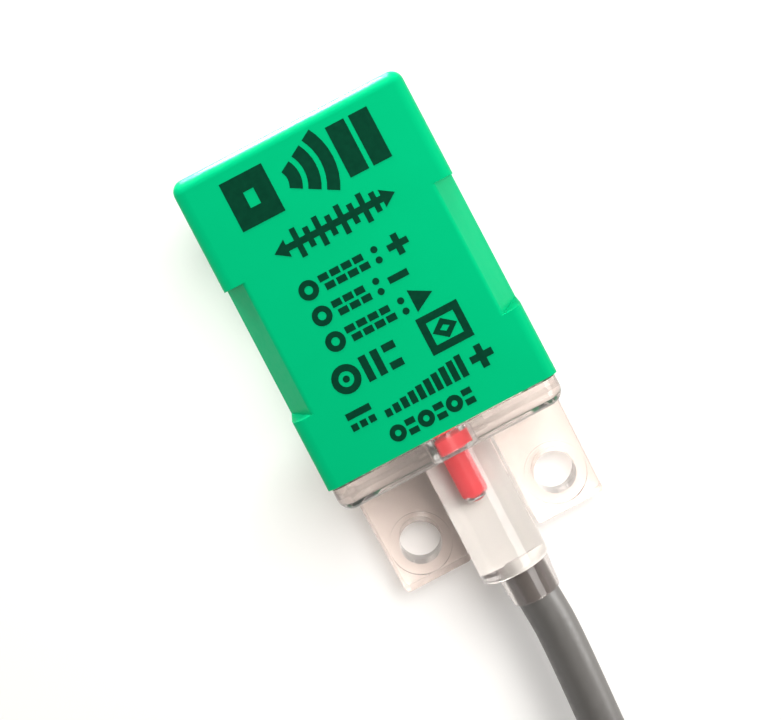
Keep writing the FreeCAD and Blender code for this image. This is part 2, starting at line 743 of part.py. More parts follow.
def build_inner_cores():
    """Cores from the cable's first stretch to their pads on the board."""
    level = size("board_top") + size("core_diameter") / 2 + size("wire_lift")
    lap = size("sleeve_lap")
    back_end = -(size("near_pivot") - size("cable_diameter") / 2 - size("pivot_gap"))
    sleeve_end = size("board_back") + lap
    spread_start = size("board_back") - size("core_spread_run")
    conductors = []
    for name, place in core_places().items():
        pad = core_pads()[name]
        points = [Vector(place.x, back_end, place.z), Vector(place.x, spread_start, place.z),
                  Vector(pad, sleeve_end - lap, level), Vector(pad, sleeve_end, level)]
        sleeve = wire_solid(wire_path(points), size("core_diameter"))
        bore = wire_solid(wire_path(points), size("conductor_diameter") + 2 * size("conductor_gap"))
        add_shape(f"{name}_core_inner", sleeve.cut(bore))
        points[3] = Vector(pad, size("pad_row") + size("wire_end"), level)
        conductors.append(wire_solid(wire_path(points), size("conductor_diameter")))
    add_shape("conductors_inner", Part.makeCompound(conductors))


def build_led_leads():
    half_pitch = size("led_pitch") / 2
    leads = []
    for side in (-1, 1):
        x = size("led_offset") + side * half_pitch
        points = [Vector(x, size("led_back") + size("lead_gap"), size("led_height")),
                  Vector(x, size("led_pad_row") - size("lead_run"), size("led_height")),
                  Vector(x, size("led_pad_row"), size("board_top") + size("lead_drop")),
                  Vector(x, size("led_pad_row"), size("board_top") + 2 * size("wire_lift"))]
        leads.append(wire_solid(wire_path(points), size("lead_diameter")))
    return add_shape("led_leads", Part.makeCompound(leads))


def build_coil_leads():
    middle = size("housing_height") / 2
    back = size("core_back")
    start = back + size("core_floor") + size("coil_gap") + size("bobbin_cheek")
    level = size("board_top") + size("coil_lead_diameter") / 2 + size("wire_lift")
    lap = size("sleeve_lap")
    pad = size("coil_pad_row")
    leads = []
    for side in (-1, 1):
        x = side * size("coil_lead_radius")
        points = [Vector(x, start, middle), Vector(x, back - lap, middle),
                  Vector(x, pad + size("coil_lead_run"), level), Vector(x, pad - lap, level)]
        leads.append(wire_solid(wire_path(points), size("coil_lead_diameter")))
    return add_shape("coil_leads", Part.makeCompound(leads))


def build_solder_joints(wires):
    """Domes of solder on the board, each grown round the end of its wire."""
    small = size("small_dome")
    places = [(x, size("pad_row"), size("large_dome")) for x in core_pads().values()]
    for side in (-1, 1):
        lead = size("led_offset") + side * size("led_pitch") / 2
        places.append((lead, size("led_pad_row"), small))
        places.append((side * size("coil_lead_radius"), size("coil_pad_row"), small))
    metal = Part.makeCompound([wire.Shape for wire in wires])
    domes = []
    for x, y, radius in places:
        dome = Part.makeSphere(radius, Vector(x, y, size("board_top")), Vector(0, 0, 1), 0, 90, 360)
        domes.append(dome.cut(metal).Solids[0])
    return add_shape("solder_joints", Part.makeCompound(domes))


# ----------------------------------------------------------------- cable runs

def build_jacket(label, start, end, ball_start):
    """One length of sheath, its front end flat or rounded about a pivot."""
    body = new_body(label, x="dims.cable_offset", z="dims.cable_height")
    half = new_sketch(body, "XY_Plane", f"{label}_section")
    outer = size("cable_diameter") / 2
    bore = size("jacket_bore") / 2
    front = -number(start)
    tail = -number(end)
    if ball_start:
        reach = math.sqrt(outer ** 2 - bore ** 2)
        half_way = math.asin(reach / outer) / 2
        middle = Vector(math.cos(half_way), math.sin(half_way), 0) * outer
        first = Vector(bore, front + reach, 0)
        arc = Part.Arc(first, Vector(middle.x, front + middle.y, 0), Vector(outer, front, 0))
        half.addGeometry(arc, False)
        corners = [Vector(outer, front, 0), Vector(outer, tail, 0), Vector(bore, tail, 0), first]
        for begin, finish in zip(corners, corners[1:]):
            half.addGeometry(Part.LineSegment(begin, finish), False)
    else:
        add_rectangle(half, "dims.jacket_bore / 2", f"-({end})", "dims.cable_diameter / 2",
                      f"-({start})")
    revolve(body, f"{label}_sheath", half)
    return body


def add_rod(name, place, start, end, diameter):
    """A straight cylinder along the cable between two distances behind the origin."""
    rod = doc.addObject("Part::Cylinder", name)
    rod.setExpression("Radius", f"({diameter}) / 2")
    rod.setExpression("Height", f"({end}) - ({start})")
    rod.Placement = Placement(Vector(place.x, -number(start), place.z), Rotation(Vector(1, 0, 0), 90))
    rod.setExpression("Placement.Base.y", f"-({start})")
    return rod


def build_outer_cores(stretch, start, sleeve_end, conductor_end):
    """Straight cores and conductors of one length of cable."""
    wires = []
    for name, place in core_places().items():
        sleeve = add_rod(f"{name}_{stretch}_sleeve", place, start, sleeve_end, "dims.core_diameter")
        bore = add_rod(f"{name}_{stretch}_bore", place, start, sleeve_end,
                       "dims.conductor_diameter + 2 * dims.conductor_gap")
        core = doc.addObject("Part::Cut", f"{name}_core_{stretch}")
        core.Label = f"{name}_core_{stretch}"
        core.Base = sleeve
        core.Tool = bore
        wires.append(add_rod(f"{name}_{stretch}_wire", place, start, conductor_end,
                             "dims.conductor_diameter"))
    group = doc.addObject("Part::Compound", f"conductors_{stretch}")
    group.Label = f"conductors_{stretch}"
    group.Links = wires
    return group


# ------------------------------------------------------------------- assembly

build_housing()
build_rear_cap()
build_potting_resin()
build_ferrite_core()
build_coil_bobbin()
build_coil_winding()
build_circuit_board()
build_leaded_chip("oscillator_chip", (2.6, 7.6), EIGHT_LEG_PACKAGE, legs=4, pitch=1.27)
build_leaded_chip("output_transistor", (-3.6, 7.6), FOUR_LEG_PACKAGE, legs=2, pitch=1.9)
build_chip_group("resistors", [(-4.8, 2.4), (-4.8, 4.6), (-1.6, 4.6), (1.6, 4.6), (4.8, 4.6),
                               (4.8, 2.4)], RESISTOR, below=True)
build_chip_group("capacitors", [(-3.2, 9.6), (0.0, 9.6), (3.2, 9.6)], CAPACITOR, turned=True,
                 below=True)
build_chip_group("protection_diodes", [(-5.3, 3.3), (5.3, 3.3)], DIODE, turned=True)
build_indicator_led()
build_inner_cores()
build_led_leads()
build_coil_leads()
build_solder_joints([doc.getObject(name)
                     for name in ("conductors_inner", "led_leads", "coil_leads")])

NEAR_FRONT = "dims.near_pivot - dims.cable_diameter / 2 - dims.pivot_gap"
FAR_FRONT = "dims.far_pivot - dims.cable_diameter / 2 - dims.pivot_gap"
build_jacket("cable_jacket_inner", "dims.jacket_start", NEAR_FRONT, ball_start=False)
build_jacket("cable_jacket_near", "dims.near_pivot", FAR_FRONT, ball_start=True)
build_jacket("cable_jacket_far", "dims.far_pivot", "dims.jacket_end", ball_start=True)
build_outer_cores("near", "dims.near_pivot - dims.core_inset", FAR_FRONT, FAR_FRONT)
build_outer_cores("far", "dims.far_pivot - dims.core_inset", "dims.core_end", "dims.conductor_end")
doc.recompute()

NODES = [
    "housing", "rear_cap", "potting_resin", "ferrite_core", "coil_bobbin", "coil_winding",
    "coil_leads", "circuit_board", "oscillator_chip", "output_transistor", "resistors",
    "capacitors", "protection_diodes", "indicator_led", "led_leads", "solder_joints",
    "cable_jacket_inner", "cable_jacket_near", "cable_jacket_far",
    "conductors_inner", "conductors_near", "conductors_far",
]
NODES += [f"{colour}_core_{stretch}" for stretch in ("inner", "near", "far")
          for colour in ("brown", "blue", "black")]

for item in doc.Objects:
    if "Invalid" in item.State or "Error" in item.State:
        raise RuntimeError(f"{item.Label} did not build: {item.State}")

os.makedirs("parts", exist_ok=True)
for node in NODES:
    shape = doc.getObjectsByLabel(node)[0].Shape
    if shape.isNull() or not shape.isValid():
        raise RuntimeError(f"{node} has no valid shape")
    shape.exportStep(f"parts/{node}.step")
    print(node, len(shape.Solids), round(shape.Volume, 3))
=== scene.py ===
import json
import math

import bmesh
import bpy
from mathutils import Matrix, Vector


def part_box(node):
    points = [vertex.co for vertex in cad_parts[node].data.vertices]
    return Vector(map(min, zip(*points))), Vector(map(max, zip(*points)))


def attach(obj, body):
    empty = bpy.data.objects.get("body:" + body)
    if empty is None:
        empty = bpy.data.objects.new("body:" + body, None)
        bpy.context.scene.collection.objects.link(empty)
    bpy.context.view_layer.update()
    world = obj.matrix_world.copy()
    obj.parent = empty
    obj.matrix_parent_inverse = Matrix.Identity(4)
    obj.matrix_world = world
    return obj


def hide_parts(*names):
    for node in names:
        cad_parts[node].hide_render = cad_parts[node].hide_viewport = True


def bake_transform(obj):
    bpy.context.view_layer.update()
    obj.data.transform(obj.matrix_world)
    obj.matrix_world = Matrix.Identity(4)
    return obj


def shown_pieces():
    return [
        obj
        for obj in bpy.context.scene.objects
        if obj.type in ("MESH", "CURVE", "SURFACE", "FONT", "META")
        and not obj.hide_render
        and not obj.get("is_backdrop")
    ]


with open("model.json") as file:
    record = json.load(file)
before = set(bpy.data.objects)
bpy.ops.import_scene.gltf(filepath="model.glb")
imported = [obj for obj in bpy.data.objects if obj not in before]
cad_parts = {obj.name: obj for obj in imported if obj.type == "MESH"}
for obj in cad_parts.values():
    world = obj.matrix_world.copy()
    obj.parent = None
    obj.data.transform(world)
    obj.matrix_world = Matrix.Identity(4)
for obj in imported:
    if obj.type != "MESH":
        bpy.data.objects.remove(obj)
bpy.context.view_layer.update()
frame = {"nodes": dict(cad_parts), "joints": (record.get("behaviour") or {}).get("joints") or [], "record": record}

MM = 0.001


# ------------------------------------------------------------------ frame sizes

def low(node):
    """The lowest corner of a node's box, in metres."""
    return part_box(node)[0]


def high(node):
    """The highest corner of a node's box, in metres."""
    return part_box(node)[1]


TOP = high("housing").z
FRONT = high("housing").y
# where the cap's flange meets the housing
JOINT = low("housing").y


# -------------------------------------------------------------------- materials

class Look:
    """A procedural material: one Principled shader and the nodes that feed it."""

    def __init__(self, name, colour, roughness):
        self.material = bpy.data.materials.new(name)
        self.material.use_nodes = True
        self.tree = self.material.node_tree
        self.shader = self.tree.nodes["Principled BSDF"]
        self.place = self.add("ShaderNodeTexCoord").outputs["Object"]
        self.colour = colour
        self.roughness = roughness
        self.normal = None
        self.shader.inputs["Base Color"].default_value = (*colour, 1)
        self.shader.inputs["Roughness"].default_value = roughness

    def add(self, kind, **settings):
        node = self.tree.nodes.new(kind)
        for key, value in settings.items():
            setattr(node, key, value)
        return node

    def join(self, source, target):
        self.tree.links.new(source, target)

    def set(self, **values):
        """Sets the shader's plain values; an underscore stands for a space in their names."""
        for key, value in values.items():
            self.shader.inputs[key.replace("_", " ")].default_value = value
        return self

    def noise(self, size, detail=3.0, stretch=(1, 1, 1)):
        """Noise whose features are about `size` metres across."""
        mapping = self.add("ShaderNodeMapping")
        mapping.inputs["Scale"].default_value = stretch
        self.join(self.place, mapping.inputs["Vector"])
        noise = self.add("ShaderNodeTexNoise")
        noise.inputs["Scale"].default_value = 1 / size
        noise.inputs["Detail"].default_value = detail
        self.join(mapping.outputs["Vector"], noise.inputs["Vector"])
        return noise.outputs["Fac"]

    def spread(self, factor, start, end, lower=0.3, upper=0.7):
        """Maps `lower` to `upper`, by default the span where noise lies, on to start to end."""
        spread = self.add("ShaderNodeMapRange")
        spread.inputs["From Min"].default_value = lower
        spread.inputs["From Max"].default_value = upper
        spread.inputs["To Min"].default_value = start
        spread.inputs["To Max"].default_value = end
        self.join(factor, spread.inputs["Value"])
        return spread.outputs["Result"]

    def vary_colour(self, factor, other):
        """Drifts between the look's own colour and another."""
        mix = self.add("ShaderNodeMix", data_type="RGBA")
        mix.inputs["A"].default_value = (*self.colour, 1)
        mix.inputs["B"].default_value = (*other, 1)
        self.join(factor, mix.inputs["Factor"])
        self.join(mix.outputs["Result"], self.shader.inputs["Base Color"])
        return self

    def vary_roughness(self, factor, amount):
        result = self.spread(factor, self.roughness - amount, self.roughness + amount)
        self.join(result, self.shader.inputs["Roughness"])
        return self

    def bump(self, height, depth, strength):
        """Adds relief of about `depth` metres on top of any earlier relief."""
        bump = self.add("ShaderNodeBump")
        bump.inputs["Strength"].default_value = strength
        bump.inputs["Distance"].default_value = depth
        self.join(height, bump.inputs["Height"])
        if self.normal is not None:
            self.join(self.normal, bump.inputs["Normal"])
        self.normal = bump.outputs["Normal"]
        self.join(self.normal, self.shader.inputs["Normal"])
        return self


def housing_plastic():
    """Moulded green plastic with a fine spark-eroded grain."""
    look = Look("housing_plastic", (0.0005, 0.284, 0.113), roughness=0.34)
    look.vary_colour(look.noise(4 * MM, detail=4), (0.0005, 0.266, 0.103))
    look.vary_roughness(look.noise(0.6 * MM), amount=0.06)
    look.bump(look.noise(0.16 * MM, detail=2), depth=0.006 * MM, strength=0.35)
    look.bump(look.noise(3 * MM, detail=2), depth=0.03 * MM, strength=0.25)
    look.set(IOR=1.5, Specular_IOR_Level=0.03, Specular_Tint=(0.02, 0.2, 0.12, 1))
    return look.material


def clear_plastic():
    """Clear moulding gone slightly milky: cloudier where it is seen edge on."""
    look = Look("clear_plastic", (0.775, 0.73, 0.71), roughness=0.11)
    look.vary_colour(look.noise(5 * MM), (0.755, 0.71, 0.69))
    look.vary_roughness(look.noise(1.2 * MM), amount=0.05)
    look.bump(look.noise(1.6 * MM, detail=2), depth=0.04 * MM, strength=0.25)
    facing = look.add("ShaderNodeLayerWeight").outputs["Facing"]
    clarity = look.spread(facing, 0.975, 0.72, lower=0.35, upper=1.0)
    look.join(clarity, look.shader.inputs["Transmission Weight"])
    look.set(IOR=1.45, Specular_IOR_Level=0.75)
    # light passes straight through in shadow, so that the pieces inside are not left dark
    see_through = look.add("ShaderNodeBsdfTransparent")
    see_through.inputs["Color"].default_value = (0.50, 0.465, 0.44, 1)
    shadow = look.add("ShaderNodeLightPath").outputs["Is Shadow Ray"]
    mix = look.add("ShaderNodeMixShader")
    look.join(shadow, mix.inputs["Fac"])
    look.join(look.shader.outputs["BSDF"], mix.inputs[1])
    look.join(see_through.outputs["BSDF"], mix.inputs[2])
    look.join(mix.outputs["Shader"], look.tree.nodes["Material Output"].inputs["Surface"])
    return look.material


def plain(name, colour, other, roughness, grain, relief, metallic=0.0):
    """A plain finish. The size of its grain and the relief's depth are in mm."""
    look = Look(name, colour, roughness)
    look.vary_colour(look.noise(grain * MM, detail=4), other)
    look.vary_roughness(look.noise(grain * MM / 2), amount=0.08)
    look.bump(look.noise(grain * MM / 3, detail=2), depth=relief * MM, strength=0.4)
    return look.set(Metallic=metallic).material


def lamp_epoxy():
    """Red cast epoxy, weakly lit from within."""
    look = Look("lamp_epoxy", (0.54, 0.05, 0.06), roughness=0.3)
    look.vary_colour(look.noise(0.8 * MM), (0.60, 0.065, 0.075))
    look.bump(look.noise(0.5 * MM), depth=0.01 * MM, strength=0.3)
    look.set(Emission_Color=(1.0, 0.07, 0.08, 1), Emission_Strength=0.3, Specular_IOR_Level=0.2)
    return look.material


def printing_ink():
    """Matt ink, nearly black with a trace of green."""
    look = Look("print_ink", (0.001, 0.018, 0.009), roughness=0.5)
    look.vary_colour(look.noise(0.5 * MM, detail=4), (0.002, 0.036, 0.017))
    look.bump(look.noise(0.2 * MM, detail=2), depth=0.004 * MM, strength=0.4)
    return look.set(Specular_IOR_Level=0.02, Specular_Tint=(0.2, 1.0, 0.6, 1)).material


def extruded(name, colour, other, roughness):
    """Extruded cable plastic: a matt skin with faint draw lines along its length."""
    look = Look(name, colour, roughness)
    look.vary_colour(look.noise(0.9 * MM, stretch=(1, 0.25, 1)), other)
    look.vary_roughness(look.noise(0.5 * MM), amount=0.07)
    draw_lines = look.noise(0.12 * MM, detail=2, stretch=(1, 0.05, 1))
    look.bump(draw_lines, depth=0.006 * MM, strength=0.3)
    look.bump(look.noise(2.5 * MM, detail=2), depth=0.04 * MM, strength=0.3)
    return look.material


# one look for each material slot in the record, and one for the ink
LOOKS = {
    "housing_green": housing_plastic(),
    "clear_cap": clear_plastic(),
    "potting": plain("cast_resin", (0.61, 0.66, 0.665), (0.57, 0.62, 0.625), 0.5, 2, 0.02),
    "ferrite": plain("ferrite_ceramic", (0.035, 0.035, 0.04), (0.05, 0.05, 0.055), 0.7, 1, 0.02),
    "bobbin": plain("bobbin_plastic", (0.78, 0.74, 0.62), (0.72, 0.68, 0.56), 0.45, 2, 0.01),
    "copper_wire": plain("enamelled_copper", (0.62, 0.22, 0.08), (0.5, 0.16, 0.05), 0.3, 0.5,
                         0.02, metallic=0.9),
    "board": plain("board_laminate", (0.02, 0.14, 0.06), (0.015, 0.11, 0.045), 0.35, 1, 0.01),
    "chip_black": plain("chip_moulding", (0.02, 0.02, 0.022), (0.03, 0.03, 0.03), 0.55, 0.5,
                        0.01),
    "resistor_black": plain("resistor_film", (0.03, 0.028, 0.032), (0.05, 0.045, 0.05), 0.5,
                            0.5, 0.01),
    "capacitor_tan": plain("capacitor_ceramic", (0.43, 0.27, 0.13), (0.38, 0.23, 0.1), 0.6,
                           0.5, 0.01),
    "led_red": lamp_epoxy(),
    "tinned_wire": plain("tinned_copper", (0.55, 0.55, 0.56), (0.42, 0.42, 0.43), 0.32, 0.3,
                         0.01, metallic=1.0),
    "solder": plain("solder", (0.5, 0.51, 0.52), (0.4, 0.41, 0.42), 0.28, 0.4, 0.02,
                    metallic=1.0),
    "jacket_grey": extruded("cable_sheath", (0.075, 0.07, 0.066), (0.06, 0.057, 0.053), 0.45),
    "core_brown": extruded("brown_sheath", (0.12, 0.045, 0.02), (0.1, 0.036, 0.016), 0.4),
    "core_blue": extruded("blue_sheath", (0.02, 0.09, 0.4), (0.016, 0.075, 0.35), 0.4),
    "core_black": extruded("black_sheath", (0.013, 0.013, 0.015), (0.02, 0.02, 0.022), 0.4),
    "print_ink": printing_ink(),
}

for entry in frame["record"]["subparts"]:
    node = frame["nodes"][entry["node"]]
    node.data.materials.clear()
    node.data.materials.append(LOOKS[entry["material_slot"]])


# --------------------------------------------------------------------- mesh help

# edges that turn by less than this are shaded smooth
SMOOTH_BELOW = math.radians(40)


def add_piece(name, bm, slot):
    """Makes a bmesh into a smooth piece with the finish of one material slot."""
    bmesh.ops.recalc_face_normals(bm, faces=bm.faces)
    for edge in bm.edges:
        edge.smooth = len(edge.link_faces) == 2 and edge.calc_face_angle() < SMOOTH_BELOW
    mesh = bpy.data.meshes.new(name)
    bm.to_mesh(mesh)
    bm.free()
    mesh.materials.append(LOOKS[slot])
    for face in mesh.polygons:
        face.use_smooth = True
    piece = bpy.data.objects.new(name, mesh)
    bpy.context.scene.collection.objects.link(piece)
    return piece


def bridge(bm, one, other):
    """Joins two loops of as many points with a band of faces."""
    for i in range(len(one)):
        j = (i + 1) % len(one)
        bm.faces.new((one[i], one[j], other[j], other[i]))


def add_ring(bm, centre, radius, sides):
    """A ring of points across the cable's length."""
    ring = []
    for i in range(sides):
        angle = 2 * math.pi * i / sides
        ring.append(bm.verts.new((centre.x + radius * math.cos(angle), centre.y,
                                  centre.z + radius * math.sin(angle))))
    return ring


def add_rings(bm, path, radii, sides):
    """Rings along a path, joined into a skin."""
    rings = [add_ring(bm, point, radius, sides) for point, radius in zip(path, radii)]
    for one, other in zip(rings, rings[1:]):
        bridge(bm, one, other)
    return rings


def add_rod(bm, path, radii, sides):
    """A solid rod along a path, with a flat disc at each end."""
    rings = add_rings(bm, path, radii, sides)
    bm.faces.new(rings[0])
    bm.faces.new(rings[-1])


def add_tube(bm, path, outer, inner, sides):
    """A closed tube wall along a path."""
    outside = add_rings(bm, path, outer, sides)
    inside = add_rings(bm, path, inner, sides)
    bridge(bm, outside[0], inside[0])
    bridge(bm, outside[-1], inside[-1])


def stations(start, end, step):
    """Positions from start to end, about one step apart."""
    count = max(2, round(abs(end - start) / step))
    return [start + (end - start) * i / count for i in range(count + 1)]


def ease(value, start, end):
    """A soft rise from 0 at `start` to 1 at `end`."""
    t = min(1.0, max(0.0, (value - start) / (end - start)))
    return t * t * (3 - 2 * t)


# ------------------------------------------------------------------------- cable

CABLE_LOW = low("cable_jacket_far")
CABLE_HIGH = high("cable_jacket_far")
CABLE_X = (CABLE_LOW.x + CABLE_HIGH.x) / 2
CABLE_Z = (CABLE_LOW.z + CABLE_HIGH.z) / 2
CABLE_RADIUS = (CABLE_HIGH.x - CABLE_LOW.x) / 2
SHEATH_WALL = 0.52 * MM
SHEATH_BORE = CABLE_RADIUS - SHEATH_WALL
CORE_RADIUS = (high("brown_core_far").x - low("brown_core_far").x) / 2
STRAND_RADIUS = 0.09 * MM
# the bundle of strands inside a core, and the hole round it
WIRE_RADIUS = 2.6 * STRAND_RADIUS
CORE_BORE = WIRE_RADIUS * 1.02

# places along the cable, which runs towards -Y
SHEATH_START = high("cable_jacket_inner").y
COLLAR_END = low("rear_cap").y
SHEATH_END = CABLE_LOW.y
CORE_END = low("brown_core_far").y
STRAND_END = low("conductors_far").y
PIVOTS = {joint["name"]: Vector(joint["pos_m"]) for joint in frame["joints"]}
NEAR_PIVOT = PIVOTS["cable_sideways_bend"].y
FAR_PIVOT = PIVOTS["cable_upward_bend"].y
# the two halves of the visible cable meet at the seam, which both bends leave straight
SEAM = (NEAR_PIVOT + FAR_PIVOT) / 2

# how finely the meshes are divided
SHEATH_STEP = 0.35 * MM
SHEATH_SIDES = 48
CORE_STEP = 0.5 * MM
CORE_SIDES = 24
WIRE_SIDES = 12
STRAND_STEP = 0.25 * MM
STRAND_SIDES = 10

# the cable's own set, sideways in mm: a small swing at the collar, then a longer drift back
SWING = 0.16
DRIFT = 0.55
# where each of the two grows, in mm past the collar's end
SWING_SPAN = (-1, 3)
DRIFT_SPAN = (2, 16)

# how far the cut ends of the sheath and of the cores are rounded, inwards and along
SHEATH_ROUND = (0.1 * MM, 0.12 * MM)
CORE_ROUND = (0.05 * MM, 0.5 * MM)

# name, finish, how far the stripped end splays sideways and upwards (mm)
CORES = [("brown", "core_brown", 0.4, -1.5), ("blue", "core_blue", 1.7, 0.6),
         ("black", "core_black", -1.6, 1.0)]
# the splay grows with the distance along the bare core, and a head start, to this power
SPLAY_POWER = 1.6
SPLAY_START = 0.5 * MM

# one strand in the middle and the others round it, turning by TWIST radians at each station
OUTER_STRANDS = 6
STRAND_PITCH = 1.75 * STRAND_RADIUS
TWIST = 0.28
# the strands start this far inside the core, and begin to fray this far outside it
STRANDS_BURIED = 1 * MM
FRAY_START = 2 * MM
# how much wider the bundle gets towards its tips, as a share of its width
FRAY = 0.9


def past_collar(y, span):
    """How much of a span past the collar, in mm, lies behind a place: 0 to 1."""
    return ease(y, COLLAR_END - span[0] * MM, COLLAR_END - span[1] * MM)


def sway(y):
    """How far the cable lies to one side at a place along it."""
    return (SWING * past_collar(y, SWING_SPAN) - DRIFT * past_collar(y, DRIFT_SPAN)) * MM


def rounded(radius, ys, end, inwards, along):
    """The radius at each place, drawn in towards a cut end."""
    return [radius - inwards * ease(y, end + along, end) for y in ys]


def bend(piece):
    """Bakes a piece's placement into its mesh; the piece is not blended between bodies."""
    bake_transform(piece)


def bend_near(piece):
    bend(piece)


def bend_far(piece):
    bend(piece)


def build_tube(name, finish, path, outer, bore, sides):
    bm = bmesh.new()
    add_tube(bm, path, outer, [bore] * len(path), sides)
    return add_piece(name, bm, finish)


def build_sheath_length(name, ys, outer):
    path = [Vector((CABLE_X + sway(y), y, CABLE_Z)) for y in ys]
    return build_tube(name, "jacket_grey", path, outer, SHEATH_BORE, SHEATH_SIDES)


def build_sheath():
    ys = stations(SHEATH_START, SEAM, SHEATH_STEP)
    near = build_sheath_length("sheath_near", ys, [CABLE_RADIUS] * len(ys))
    bend_near(near)
    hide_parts("cable_jacket_inner", "cable_jacket_near")

    ys = stations(SEAM, SHEATH_END, SHEATH_STEP)
    outer = rounded(CABLE_RADIUS, ys, SHEATH_END, *SHEATH_ROUND)
    far = build_sheath_length("sheath_far", ys, outer)
    bend_far(far)
    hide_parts("cable_jacket_far")


def core_path(name, splay_x, splay_z, ys):
    """The middle of a core: straight in the sheath, then splayed past the sheath's end."""
    lowest, highest = low(f"{name}_core_far"), high(f"{name}_core_far")
    x = (lowest.x + highest.x) / 2
    z = (lowest.z + highest.z) / 2
    path = []
    for y in ys:
        bare = (SHEATH_END + SPLAY_START - y) / (SHEATH_END - CORE_END)
        out = bare ** SPLAY_POWER if y < SHEATH_END else 0.0
        path.append(Vector((x + sway(y) + splay_x * MM * out, y, z + splay_z * MM * out)))
    return path


def add_strands(bm, centre):
    """The strands of one stripped end, twisted and fraying towards their tips."""
    for strand in range(OUTER_STRANDS + 1):
        reach = 0.0 if strand == OUTER_STRANDS else STRAND_PITCH
        path = []
        for i, point in enumerate(centre):
            turn = 2 * math.pi * strand / OUTER_STRANDS + TWIST * i
            fray = 1 + FRAY * ease(point.y, CORE_END - FRAY_START, STRAND_END)
            path.append(point + Vector((math.cos(turn), 0, math.sin(turn))) * reach * fray)
        add_rod(bm, path, [STRAND_RADIUS] * len(path), STRAND_SIDES)


def build_core(wires_near, wires_far, name, finish, *splay):
    """One insulated core, with its wire added to the wires of each half."""
    ys = stations(low(f"{name}_core_inner").y, SEAM, CORE_STEP)
    path = core_path(name, *splay, ys)
    near = build_tube(f"{name}_core_bend", finish, path, [CORE_RADIUS] * len(ys), CORE_BORE,
                      CORE_SIDES)
    bend_near(near)
    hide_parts(f"{name}_core_near")
    add_rod(wires_near, path, [WIRE_RADIUS] * len(ys), WIRE_SIDES)

    ys = stations(SEAM, CORE_END, CORE_STEP)
    outer = rounded(CORE_RADIUS, ys, CORE_END, *CORE_ROUND)
    far = build_tube(f"{name}_core_tail", finish, core_path(name, *splay, ys), outer, CORE_BORE,
                     CORE_SIDES)
    bend_far(far)
    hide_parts(f"{name}_core_far")

    # the plain wire gives way to strands just inside the core's end
    buried = CORE_END + STRANDS_BURIED
    path = core_path(name, *splay, stations(SEAM, buried, CORE_STEP))
    add_rod(wires_far, path, [WIRE_RADIUS] * len(path), WIRE_SIDES)
    add_strands(wires_far, core_path(name, *splay, stations(buried, STRAND_END, STRAND_STEP)))


def build_cores():
    wires_near = bmesh.new()
    wires_far = bmesh.new()
    for core in CORES:
        build_core(wires_near, wires_far, *core)
    near = add_piece("strands_bend", wires_near, "tinned_wire")
    bend_near(near)
    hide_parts("conductors_near")
    far = add_piece("strands_tail", wires_far, "tinned_wire")
    bend_far(far)
    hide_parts("conductors_far")


# -------------------------------------------------------------------------- lamp

LAMP_SIDES = 40
STEM_RADIUS = 0.81 * MM
RIM_LENGTH = 1.2 * MM
# how much larger than the CAD's the rim's radius and the lens's length are, so that hardly any
# air gap shows round it in the clear cap
RIM_GROWTH = 0.06 * MM
TIP_GROWTH = 0.07 * MM
# how far the rim's flat stands out from the stem, and the corner where the rim meets the stem
FLAT_HEIGHT = 0.12 * MM
CORNER = 0.08 * MM
# the rim's rounded edges, in mm from its face and from its full radius
BACK_EDGE = [(0, 0.12), (0.06, 0.03), (0.15, 0)]
SHOULDER_EDGE = [(0.15, 0), (0.05, 0.04), (0, 0.14)]
STEM_START = 0.3 * MM
STEM_STEP = 0.4 * MM
DOME_STEPS = 10


def build_lamp():
    """The lamp's red lens: a rim with a flat on one side, and a stem with a domed tip."""
    lowest, highest = low("indicator_led"), high("indicator_led")
    rim = (highest.z - lowest.z) / 2
    x = highest.x - rim
    z = lowest.z + rim
    rim += RIM_GROWTH
    shoulder = highest.y - RIM_LENGTH
    dome = lowest.y + STEM_RADIUS - TIP_GROWTH
    profile = [(highest.y - along * MM, rim - inward * MM) for along, inward in BACK_EDGE]
    profile += [(shoulder + along * MM, rim - inward * MM) for along, inward in SHOULDER_EDGE]
    profile += [(shoulder, STEM_RADIUS + CORNER), (shoulder - CORNER, STEM_RADIUS)]
    profile += [(y, STEM_RADIUS) for y in stations(shoulder - STEM_START, dome, STEM_STEP)]
    for i in range(1, DOME_STEPS):
        angle = math.pi / 2 * i / DOME_STEPS
        profile.append((dome - STEM_RADIUS * math.sin(angle), STEM_RADIUS * math.cos(angle)))
    path = [Vector((x, y, z)) for y, radius in profile]
    bm = bmesh.new()
    add_rod(bm, path, [radius for y, radius in profile], LAMP_SIDES)
    for corner in bm.verts:
        corner.co.x = max(corner.co.x, x - STEM_RADIUS - FLAT_HEIGHT)
    lamp = add_piece("lamp_lens", bm, "led_red")
    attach(lamp, "sensor")
    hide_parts("indicator_led")


# ----------------------------------------------------------------- printed marks

# Drawn in mm: x sideways, then the distance back from the housing's front edge.

INK_BASE = TOP - 0.01 * MM
INK_TOP = TOP + 0.015 * MM
# the usual width of a stroke
STROKE = 0.5
DEGREES_PER_SIDE = 8
DISC_SIDES = 20
DOT = 0.25


def add_film(bm, outline):
    """One flat ink shape, given by its corners."""
    corners = [(x * MM, FRONT - back * MM) for x, back in outline]
    base = [bm.verts.new((x, y, INK_BASE)) for x, y in corners]
    lid = [bm.verts.new((x, y, INK_TOP)) for x, y in corners]
    bm.faces.new(base)
    bm.faces.new(lid)
    bridge(bm, base, lid)


def add_bar(bm, left, right, front, back):
    add_film(bm, [(left, front), (right, front), (right, back), (left, back)])


def around(x, back, radius, angle):
    """The point at an angle round a centre, anticlockwise from +X."""
    return (x + radius * math.cos(angle), back - radius * math.sin(angle))


